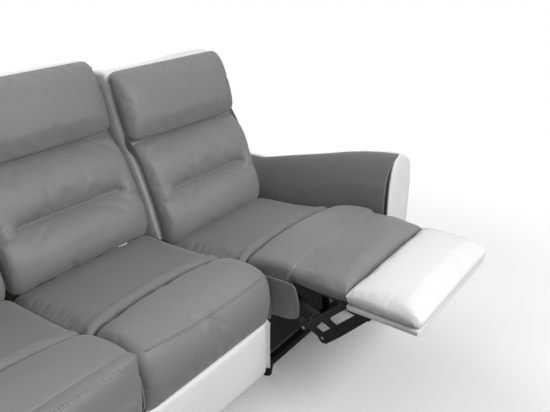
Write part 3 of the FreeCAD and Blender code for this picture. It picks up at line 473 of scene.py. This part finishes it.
def roll_section(lift, fixed):
    """The front roll, from the notch over the front: down to the colour line on the fixed seat."""
    def section(share):
        crown = 0.012 * (1 - share ** 2)
        bow = 0.018 * (1 - share ** 2)
        if fixed:
            top = [(-0.343, 0.400), (-0.3445, 0.440), (-0.346, 0.455), (-0.352, 0.464), (-0.372, 0.474),
                   (-0.410, 0.485), (-0.455, 0.490), (-0.500, 0.487), (-0.532, 0.475), (-0.551, 0.452),
                   (-0.560, 0.420), (-0.562, 0.380), (-0.558, 0.335), (-0.549, 0.303), (-0.543, 0.299)]
            low = [(-0.530, 0.298), (-0.512, 0.320), (-0.506, 0.380), (-0.470, 0.410), (-0.400, 0.414),
                   (-0.352, 0.396)]
            rise = np.array([0, 0, .8, 1, 1, 1, 1, 1, .8, .4, 0, 0, 0, 0, 0])
            slide = np.array([1, 1, 1, 1, .8, .5, .2, 0, 0, 0, 0, 0, 0, 0, 0])
        else:
            top = [(-0.343, 0.405), (-0.3445, 0.440), (-0.346, 0.456), (-0.352, 0.466), (-0.372, 0.477),
                   (-0.410, 0.489), (-0.455, 0.496), (-0.500, 0.498), (-0.530, 0.495), (-0.542, 0.487),
                   (-0.547, 0.460)]
            low = [(-0.525, 0.424), (-0.480, 0.416), (-0.400, 0.415), (-0.352, 0.404)]
            rise = np.array([0, 0, .8, 1, 1, 1, 1, 1, 1, .8, 0])
            slide = np.array([1, 1, 1, 1, .8, .5, .2, 0, 0, 0, 0])
        top = np.array(top)
        top[:, 1] += rise * (crown + lift - 0.004)
        top[:, 0] += slide * (bow - 0.011)
        return np.vstack([line(top, 64), line(low, 64)])
    return section


def footrest_section(lift, proud):
    """The upper footrest pad, hanging in front of the seat when closed: fuller by crown x (1 - s^2) at its
    middle and thinner by a further s^4 towards its sides."""
    def section(share):
        crown = 0.014 * (1 - share ** 2)
        bow = 0.004 * (1 - share ** 2)
        front = [(-0.518, 0.492), (-0.536, 0.498), (-0.556, 0.496), (-0.569, 0.480), (-0.574, 0.440),
                 (-0.575, 0.390), (-0.570, 0.340), (-0.562, 0.308), (-0.556, 0.300), (-0.540, 0.298)]
        fuller = np.array([0, .1, .3, .7, 1, 1, 1, .5, .2, 0])
        out = np.array([0, .4, 1, 1, 1, 1, .9, .6, .5, .3])
        up = np.array([.6, .8, 1, .8, .3, 0, 0, 0, 0, 0])
        front = np.array(front)
        front[:, 0] -= fuller * (crown - 0.003 - 0.012 * share ** 4) + out * proud
        front[:, 1] += up * (lift + 0.6 * crown - 0.004)
        front[-3:, 1] -= bow
        rear = [(-0.510, 0.300), (-0.505, 0.340), (-0.505, 0.420), (-0.508, 0.470)]
        return np.vstack([line(front, 52), line(rear, 52)])
    return section


def end_section(low, proud):
    """The white lower pad, from the colour line down to the floor end, crowned as the upper one is."""
    def section(share):
        crown = 0.012 * (1 - share ** 2)
        bow = 0.004 * (1 - share ** 2)
        front = [(-0.530, 0.296), (-0.548, 0.296), (-0.558, 0.290), (-0.568, 0.268), (-0.573, 0.225),
                 (-0.571, 0.170), (-0.563, low + 0.045), (-0.548, low + 0.014), (-0.530, low + 0.002)]
        fuller = np.array([0, .2, .5, .8, 1, 1, .7, .3, 0])
        out = np.array([.2, .5, .7, 1, 1, 1, .8, .4, 0])
        front = np.array(front)
        front[:, 0] -= fuller * (crown - 0.004 - 0.012 * share ** 4) + out * proud
        front[:2, 1] -= bow
        rear = [(-0.510, low + 0.004), (-0.505, low + 0.04), (-0.505, 0.250), (-0.509, 0.292)]
        return np.vstack([line(front, 48), line(rear, 48)])
    return section


def panel_section(low):
    """The white front panel under the fixed seat: flat, a little fuller at its middle."""
    def section(share):
        crown = 0.004 * (1 - share ** 2)
        front = [(-0.520, 0.297), (-0.540, 0.297), (-0.5475, 0.291), (-0.551, 0.265), (-0.552, 0.200),
                 (-0.549, low + 0.035), (-0.540, low + 0.010), (-0.525, low + 0.001)]
        front = np.array(front)
        front[2:6, 0] -= crown
        rear = [(-0.509, low + 0.003), (-0.505, low + 0.03), (-0.505, 0.270), (-0.508, 0.292)]
        return np.vstack([line(front, 44), line(rear, 44)])
    return section


def board_section(low, high):
    """The covered board under a footrest pad, rounded at its edges."""
    def section(share):
        front = [(-0.499, low), (-0.5045, low + 0.005), (-0.5045, (low + high) / 2), (-0.5045, high - 0.005),
                 (-0.499, high)]
        rear = [(-0.492, high), (-0.4865, high - 0.005), (-0.4865, (low + high) / 2), (-0.4865, low + 0.005),
                (-0.492, low)]
        return np.vstack([line(front, 30), line(rear, 30)])
    return section


HOLD_BLEND = 0.04


def held_back(rings, seen, above=math.inf):
    """Weights that hold a pad's hidden rear, after the first `seen` points of each loop, its two ends, and
    what lies above a height, growing to that height over HOLD_BLEND."""
    held = np.clip((rings[..., 2] - above) / HOLD_BLEND + 1, 0, 1)
    held[:, seen:] = 1
    held[:, :2] = held[:, seen - 2:seen] = 1
    held[:5] = held[-5:] = 1
    return held


PAD_GIVE = 0.007
BACK_GIVE = 0.008


def pad(name, rings, seat, part, material, slot, nodes, fill=0.7, loose=True, held_above=math.inf):
    """A ring pad, placed on its seat, riding on its body and standing for its CAD nodes. A loose one is
    stuffed, held at its rear, its ends and above a height."""
    if loose:
        rings = stuffed(rings, held_back(rings, rings.shape[1] // 2, held_above), PAD_GIVE)
    made = ring_piece(name, placed(rings, seat, part), material)
    dressed(made, carrier(seat, part), slot, *nodes, fill=fill)


def seat_pads():
    """Each seat's rear pad and front roll, the end seats' footrest pads, and the middle's front panel."""
    grey, white = "grey_microfibre", "white_leatherette"
    for seat in SEATS:
        fixed = seat == "middle"
        lift = SEAT_LIFT[seat]
        rings = pad_rings(HALF_SEAT, seat_section(lift), 0.022)
        # The seat pad takes the darker copy of the fabric: painted shade.
        pad(f"{seat}_seat_pad", rings, seat, "seat", SEAT_SHADE_FABRIC, grey, [f"{seat}_seat_cushion"])
        if fixed:
            rings = pad_rings(HALF_SEAT, roll_section(lift, True), 0.042, edge=9,
                              upright=((0.330, 0), (0.440, 1)))
        else:
            rings = pad_rings(HALF_SEAT, roll_section(lift, False), 0.026)
        pad(f"{seat}_seat_roll", rings, seat, "seat", FABRIC, grey, [f"{seat}_seat_front_roll"], fill=0.8,
            loose=fixed)
    for seat in ("left", "right"):
        half = HALF_SEAT - 0.002
        proud = SEAT_PROUD[seat]
        rings = pad_rings(half, footrest_section(SEAT_LIFT[seat], proud), 0.024,
                          upright=((0.310, 0), (0.360, .3), (0.440, 0.6)))
        pad(f"{seat}_footrest_cushion", rings, seat, "footrest", FABRIC, grey, [f"{seat}_footrest_pad"],
            held_above=0.450)
        rings = pad_rings(half, end_section(0.067, proud), 0.024,
                          upright=((0.150, 1), (0.250, 0.2), (0.290, 0)))
        pad(f"{seat}_footrest_end", rings, seat, "footrest", WHITE, white, [f"{seat}_footrest_end_pad"])
        rings = pad_rings(half - 0.004, board_section(0.076, 0.297), 0.006, edge=3)
        pad(f"{seat}_footrest_end_band", rings, seat, "footrest", WHITE, white, [f"{seat}_footrest_board"],
            fill=0.2, loose=False)
        rings = pad_rings(half - 0.030, board_section(0.299, 0.412), 0.006, edge=3)
        # The band is near-black cloth, recessed under the footrest pad: painted shade.
        pad(f"{seat}_footrest_band", rings, seat, "footrest", SHADE_CLOTH, grey, [], fill=0.2, loose=False)
    rings = pad_rings(HALF_SEAT, panel_section(0.088), 0.042, edge=9, upright=((0.130, 1), (0.180, 0)))
    pad("middle_front_panel", rings, "middle", "seat", WHITE, white, ["middle_kick_panel"], fill=0.6,
        loose=False)


def cheek_section(share):
    """The outline of a soft cheek hanging beside the front of a seat."""
    top = [(-0.300, 0.330), (-0.300, 0.400), (-0.305, 0.440), (-0.400, 0.444), (-0.505, 0.444),
           (-0.548, 0.436), (-0.559, 0.400), (-0.562, 0.362), (-0.558, 0.334), (-0.544, 0.320)]
    low = [(-0.515, 0.316), (-0.460, 0.312), (-0.400, 0.316), (-0.330, 0.318), (-0.310, 0.320)]
    return np.vstack([line(top, 60), line(low, 60)])


CHEEK_OFFSET = 0.2672
FOLD_DEPTH = 0.0016


def cheeks():
    """Two soft cheeks to each end seat. Their folds are a sine along y that leans with z, and grows from
    nothing at the top to FOLD_DEPTH 100 mm lower."""
    for seat in ("left", "right"):
        rings = pad_rings(0.0025, cheek_section, 0.0018, rings=3, edge=2)
        sheets = []
        for sign in (-1, 1):
            copy = rings.copy()
            wave = np.sin(copy[..., 1] * 95 + copy[..., 2] * 20)
            fold = FOLD_DEPTH * wave * np.clip((0.44 - copy[..., 2]) / 0.1, 0, 1)
            copy[..., 0] = sign * (copy[..., 0] + fold + CHEEK_OFFSET)
            sheets.append(copy)
        faces = closed_faces(*rings.shape[:2])
        both = np.vstack([sheet.reshape(-1, 3) for sheet in sheets])
        count = rings.shape[0] * rings.shape[1]
        made = piece(f"{seat}_seat_cheeks", placed(both, seat, "seat"), np.vstack([faces, faces + count]),
                     FABRIC)
        dressed(made, carrier(seat, "seat"), "grey_microfibre", f"{seat}_side_gussets", fill=0.2)


# Backs

HALF_BACK = 0.264
CREASE_Z = 0.622
FOLD_Z = 0.790
CREASE_END = 0.205
ARM_SQUEEZE = 0.020
HEAD_SPREAD = 0.014
SEAM = [(0.020, 0.452), (0.045, 0.530), (0.068, 0.600), (0.098, 0.675), (0.122, 0.735), (0.163, 0.795),
        (0.190, 0.860), (0.205, 0.905), (0.216, 0.960), (0.222, 1.006)]


def back_section(share):
    """Three stuffed lobes: a deep full-width fold under the headrest, and a lower crease that fades out
    before the sides, where the cloth is pulled into a dimple. With s the share of the half width, the lobes
    stand out by swell x (1 - |s|^3), and the crease fades by a smooth step from |s| 0.68 to 0.80."""
    edge = abs(share)
    fade = np.clip((0.80 - edge) / 0.12, 0, 1)
    fade = fade * fade * (3 - 2 * fade)
    swell = 0.014 * (1 - edge ** 3)
    front = [
        (0.012, 0.438), (-0.010, 0.442), (-0.026, 0.462), (-0.033, 0.505), (-0.022, 0.556),
        (-0.002, 0.594), (0.030, 0.617), (0.040, 0.622), (0.031, 0.634), (0.028, 0.660), (0.046, 0.704),
        (0.074, 0.744), (0.105, 0.774), (0.130, 0.786), (0.136, 0.790), (0.124, 0.796), (0.114, 0.812),
        (0.114, 0.840), (0.122, 0.880), (0.135, 0.922), (0.152, 0.962), (0.170, 0.994), (0.187, 1.012),
        (0.203, 1.020), (0.217, 1.017)]
    out = np.array([0, .4, .8, 1, 1, .9, .3, 0, .5, 1, 1, 1, .8, .2, 0, .5, .9, 1, 1, 1, .9, .7, .4, .2, 0])
    front = np.array(front)
    front[:, 0] -= out * swell
    near = np.zeros(len(front))
    near[6:10] = (1, 1, 1, .6)
    plain = np.interp(front[:, 1], (0.594, 0.704), (-0.002 - swell * .9, 0.046 - swell))
    front[:, 0] += near * (1 - fade) * (plain - 0.004 - front[:, 0])
    rear = [(y + 0.004, z) for y, z in SEAM[::-1]]
    return np.vstack([line(front, 96), line(rear, 96)])


def shell_section(share):
    """The cover behind a back: from the seam over the top and down the sloping rear."""
    swell = 0.006 * (1 - share ** 4)
    front = [(y - 0.006, z) for y, z in SEAM]
    top = front[:-1] + [(0.218, 1.000), (0.228, 1.014), (0.250, 1.018), (0.290, 1.017)]
    rear = [(0.312 + swell, 1.006), (0.318 + swell, 0.985), (0.290 + swell, 0.800), (0.254 + swell, 0.600),
            (0.216, 0.400), (0.190, 0.262), (0.180, 0.248), (0.168, 0.256), (0.160, 0.330), (0.135, 0.405),
            (0.060, 0.438)]
    return np.vstack([line(top, 60), line(rear, 60)])


def backs():
    """Three backs: a stuffed front, held in at its creases, and the cover behind it. The arm squeezes the
    outer lower side of an end back by ARM_SQUEEZE x share^2, and the head spreads by HEAD_SPREAD."""
    for seat, outer in (("left", -1), ("middle", 0), ("right", 1)):
        rings = pad_rings(HALF_BACK, back_section, 0.034, rings=44, edge=8)
        x, z = rings[..., 0], rings[..., 2]
        held = held_back(rings, rings.shape[1] // 2)
        creased = (np.abs(z - CREASE_Z) < 0.010) & (np.abs(x) < CREASE_END)
        held[creased | (np.abs(z - FOLD_Z) < 0.010)] = 1
        rings = stuffed(rings, held, BACK_GIVE)
        x, z = rings[..., 0], rings[..., 2]
        squeezed = np.clip((0.74 - z) / 0.20, 0, 1) * np.clip(outer * x / HALF_BACK, 0, 1) ** 2
        x -= outer * ARM_SQUEEZE * squeezed
        x *= 1 + HEAD_SPREAD * np.clip((z - 0.76) / 0.06, 0, 1)
        made = ring_piece(f"{seat}_back_pillow", placed(rings, seat, "back"), FABRIC)
        dressed(made, carrier(seat, "back"), "grey_microfibre", f"{seat}_back_cushion", fill=0.8)
        rings = pad_rings(HALF_BACK + 0.001, shell_section, 0.018)
        made = ring_piece(f"{seat}_back_cover", placed(rings, seat, "back"), WHITE)
        dressed(made, carrier(seat, "back"), "white_leatherette", f"{seat}_back_shell", fill=0.3)


# Arms

ARM_REAR = 0.195
GREY_TIP = -0.662
WHITE_FRONT = -0.650
GREY_SWEEP = 0.027


def crest_z(y):
    """The arm's crest line along y, measured from the crease."""
    points = np.array([(-0.660, 0.699), (-0.607, 0.695), (-0.529, 0.683), (-0.445, 0.664), (-0.358, 0.640),
                       (-0.199, 0.600), (-0.067, 0.565), (0.195, 0.560)])
    return np.interp(y, points[:, 0], points[:, 1])


def arm_rings(section, front, rear, count, lean=0.0):
    """Rings of an arm piece along y, closer towards the front. section(y) is a loop of (x, z). The last
    rings lean back by lean x (1 - (1 - b)^2), with b the depth under the crest as a share of 110 mm, so that
    the front edge sweeps out to the tip."""
    rings = []
    for along in 1 - (1 - np.linspace(0, 1, count)) ** 1.3:
        y = rear + (front - rear) * along
        loop = section(y)
        below = np.clip((crest_z(y) - loop[:, 1]) / 0.11, 0, 1)
        sweep = lean * (1 - (1 - below) ** 2) * along ** 8
        rings.append(np.column_stack([loop[:, 0], y + sweep, loop[:, 1]]))
    return np.array(rings)


def arm_inside(y):
    """The padding's loop: up the inner side, rolling outwards to the crest, and back under itself."""
    z = crest_z(y)
    face = [(0.830, 0.114), (0.827, 0.300), (0.827, z - 0.150), (0.833, z - 0.095), (0.844, z - 0.050),
            (0.858, z - 0.015), (0.870, z + 0.001)]
    back = [(0.872, z - 0.003), (0.862, z - 0.040), (0.853, z - 0.090), (0.851, 0.300), (0.851, 0.112)]
    return np.vstack([line(face, 44), line(back, 44)])


def arm_outside(y):
    """The white body's loop: inner side, crest, rounded shoulder and outer side. Over its last 12 mm the
    inner side comes out to the grey's face, so that the front has the full width."""
    z = crest_z(y) - 0.003
    behind = np.clip((y + 0.648) / 0.010, 0, 1)
    x = np.interp(behind, (0, 1), (0.8265, 0.854))
    bulge = np.array([0, 0, 0, 0.006, 0.017]) * (1 - behind) + np.array([0, 0, 0, 0.001, 0.006]) * behind
    heights = (0.032, 0.300, z - 0.150, z - 0.095, z - 0.050)
    inside = [(x + out, height) for out, height in zip(bulge, heights)]
    inside += [(0.869, z - 0.004), (0.882, z), (0.912, z - 0.008), (0.950, z - 0.032)]
    outside = [(0.978, z - 0.064), (0.991, z - 0.110), (0.995, z - 0.180), (0.995, 0.300), (0.993, 0.045),
               (0.985, 0.032)]
    return np.vstack([line(inside, 44), line(outside, 44)])


def arms():
    """Two arms, mirrored: the grey padding inside, and the white body with its rounded front."""
    for side, sign in (("left", -1), ("right", 1)):
        grey = arm_rings(arm_inside, GREY_TIP, ARM_REAR - 0.002, 64, lean=GREY_SWEEP)
        white = arm_rings(arm_outside, WHITE_FRONT, ARM_REAR, 64)
        front = white[-1].copy()
        middle = (front + front[::-1]) / 2
        for forward, close_in in ((0.005, 0.03), (0.008, 0.09), (0.009, 0.5), (0.009, 0.8)):
            ring = middle + (front - middle) * (1 - close_in)
            ring[:, 1] -= forward
            white = np.concatenate([white, ring[None]])
        for name, node, rings, finish, slot, fill in (
                ("inside", "pad", grey, FABRIC, "grey_microfibre", 0.5),
                ("outside", "shell", white, WHITE, "white_leatherette", 0.3)):
            rings[..., 0] *= sign
            rings[..., 1] += CREASE_Y
            made = ring_piece(f"{side}_arm_{name}", rings, finish)
            dressed(made, "frame", slot, f"{side}_arm_{node}", fill=fill)


# Stitches, black sheets of painted shade, and rivets

ROW_GAP = 0.007


def stitching():
    """Double rows along the noses of the seats, and the short seams beside the lower creases."""
    bpy.context.view_layer.update()
    rows = [("middle_roll_stitches", "middle", "seat", ["middle_seat_roll"],
             [(-0.236, -0.549, 0.493), (-0.110, -0.549, 0.470), (0.036, -0.549, 0.463),
              (0.222, -0.549, 0.468)])]
    for seat in ("left", "right"):
        rows.append((f"{seat}_footrest_stitches", seat, "footrest", [f"{seat}_footrest_cushion"],
                     [(-0.250, -0.575, 0.500), (-0.120, -0.577, 0.512), (0.120, -0.577, 0.512),
                      (0.250, -0.575, 0.500)]))
    for seat in SEATS:
        for sign, end in ((-1, "left"), (1, "right")):
            rows.append((f"{seat}_{end}_crease_stitches", seat, "back", [f"{seat}_back_pillow"],
                         [(sign * CREASE_END, 0.030, CREASE_Z), (sign * 0.235, 0.036, 0.623),
                          (sign * 0.262, 0.060, 0.626)]))
    for name, seat, part, hosts, path in rows:
        for number, shift in (("1", -ROW_GAP / 2), ("2", ROW_GAP / 2)):
            moved = placed(line(path, 40) + (0, 0, shift), seat, part)
            row = sewn(f"{name}_{number}", [bpy.data.objects[host] for host in hosts], moved)
            dressed(row, carrier(seat, part), "grey_microfibre")


SHADE_SHEET_HALF = 0.190
SHADE_SHEET_LOW, SHADE_SHEET_HIGH = 0.052, 0.287
SHADE_SHEET_Y = -0.452


def shade_sheets():
    """A near-black sheet stretched down the inside of each mechanism's front, from the seat to the front
    rail: painted shade for the dark inside of the mechanism. It sags by 3 mm times a sine across and half a
    sine down."""
    wide, tall = 20, 14
    across, down = np.meshgrid(np.linspace(-SHADE_SHEET_HALF, SHADE_SHEET_HALF, wide),
                               np.linspace(SHADE_SHEET_LOW, SHADE_SHEET_HIGH, tall), indexing="ij")
    share = (down - SHADE_SHEET_LOW) / (SHADE_SHEET_HIGH - SHADE_SHEET_LOW)
    sag = 0.003 * np.sin(across * 40) * np.sin(share * math.pi)
    flat = np.stack([across, SHADE_SHEET_Y + sag, down], -1)
    k = np.arange(wide - 1)[:, None] * tall + np.arange(tall - 1)[None]
    faces = np.stack([k, k + tall, k + tall + 1, k + 1], -1).reshape(-1, 4)
    for seat in ("left", "right"):
        made = piece(f"{seat}_lining", flat + (SEATS[seat], CREASE_Y, 0), faces, SHADE_CLOTH, level=0)
        wall = made.modifiers.new("wall", "SOLIDIFY")
        wall.thickness = 0.0008
        wall.offset = 0.0
        dressed(made, "frame", "grey_microfibre")


RIVET_RADIUS = 0.0075
RIVETED = {"front_swing": "front_swing_links", "rear_swing": "rear_swing_links", "drive_link": "drive_links",
           "guide_link": "guide_links", "cross_link": "cross_links", "lift_link": "lift_links"}


def rivets():
    """Domed rivet heads on the outer faces of the links, at each link's own pivot: rings of `around` points
    that rise and close in by the profile's (radius, rise), as shares of RIVET_RADIUS."""
    around = 16
    turn = np.linspace(0, 2 * math.pi, around, endpoint=False)
    profile = [(1.0, 0.0), (0.95, 0.16), (0.72, 0.30), (0.35, 0.37)]
    for seat in ("left", "right"):
        for part, node in RIVETED.items():
            low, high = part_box(f"{seat}_{node}")
            spot = JOINTS[f"{seat}_{part}"]["pos_m"]
            points, faces = [], []
            for sign, x in ((-1, low.x), (1, high.x)):
                start = len(points) * around
                for radius, rise in profile:
                    points.append(np.column_stack([np.full(around, x + sign * rise * RIVET_RADIUS),
                                                   spot[1] + radius * RIVET_RADIUS * np.cos(turn),
                                                   spot[2] + radius * RIVET_RADIUS * np.sin(turn)]))
                faces.append(closed_faces(len(profile), around) + start)
            made = piece(f"{seat}_{part}_rivets", np.vstack(points), np.vstack(faces), WIRE, level=0)
            dressed(made, f"{seat}_{part}", "spring_steel")


# Studio

# Each lamp's name, place, diameter in metres and power in watts.
SOFTBOXES = (("front_softbox", (0.2, -3.7, 3.0), 2.2, 152), ("top_softbox", (0.3, 2.0, 3.3), 2.2, 34),
             ("right_softbox", (2.4, 3.6, 0.9), 1.6, 55), ("left_softbox", (-2.4, 3.6, 0.9), 1.6, 55))


def studio():
    """A pale floor, a white background and soft light from the front, above and behind. Only the camera sees
    the floor white: to light it is grey, so that it throws little back under the sofa."""
    world = bpy.data.worlds.new("studio")
    bpy.context.scene.world = world
    world.use_nodes = True
    world.node_tree.nodes.clear()
    ray = add(world, "ShaderNodeLightPath")
    seen = add(world, "ShaderNodeMath", {0: ray.outputs["Is Camera Ray"], 1: ray.outputs["Is Glossy Ray"]},
               operation="MAXIMUM")
    level = add(world, "ShaderNodeMapRange", {"Value": seen.outputs[0], "To Min": 0.24, "To Max": 1.0})
    sky = add(world, "ShaderNodeBackground", {"Color": (1, 1, 1, 1), "Strength": level.outputs[0]})
    add(world, "ShaderNodeOutputWorld", {"Surface": sky.outputs[0]})
    floor, place = finish_named("white_studio_floor")
    sight = add(floor, "ShaderNodeLightPath")
    tint = add(floor, "ShaderNodeMix", {0: sight.outputs["Is Camera Ray"], 6: (0.22, 0.22, 0.22, 1),
                                        7: (1, 1, 1, 1)}, data_type="RGBA")
    paper = add(floor, "ShaderNodeBsdfDiffuse", {"Color": tint.outputs[2]})
    away = add(floor, "ShaderNodeVectorMath", {0: place}, operation="LENGTH")
    fade = add(floor, "ShaderNodeMapRange", {"Value": away.outputs["Value"], "From Min": 1.2,
                                             "From Max": 2.4}, interpolation_type="SMOOTHSTEP")
    share = add(floor, "ShaderNodeMath", {0: fade.outputs[0], 1: sight.outputs["Is Camera Ray"]},
                operation="MULTIPLY")
    white = add(floor, "ShaderNodeEmission", {"Color": (1, 1, 1, 1), "Strength": 1.0})
    close(floor, add(floor, "ShaderNodeMixShader", {0: share.outputs[0], 1: paper.outputs[0],
                                                    2: white.outputs[0]}))
    made = piece("floor", [(-30, -30, 0), (30, -30, 0), (30, 30, 0), (-30, 30, 0)], [(0, 1, 2, 3)], floor,
                 level=0)
    for name, spot, size, power in SOFTBOXES:
        data = bpy.data.lights.new(name, "AREA")
        data.shape = "DISK"
        data.size = size
        data.energy = power
        lamp = bpy.data.objects.new(name, data)
        lamp.location = spot
        lamp.rotation_euler = (Vector(spot) - Vector((0, 0, 0.5))).to_track_quat("Z", "Y").to_euler()
        bpy.context.scene.collection.objects.link(lamp)
    bpy.context.scene.view_settings.view_transform = "Standard"


FINISHES = {"grey_microfibre": FABRIC, "white_leatherette": WHITE, "black_steel": STEEL,
            "spring_steel": WIRE, "softwood": SOFTWOOD, "plywood": PLYWOOD, "black_plastic": PLASTIC}


def finish_nodes():
    """Gives every CAD node that stays the finish of its slot."""
    for node in frame["nodes"].values():
        for slot in node.material_slots:
            slot.material = FINISHES[slot.material.name.split(".")[0]]


seat_pads()
cheeks()
backs()
arms()
stitching()
shade_sheets()
rivets()
finish_nodes()
studio()
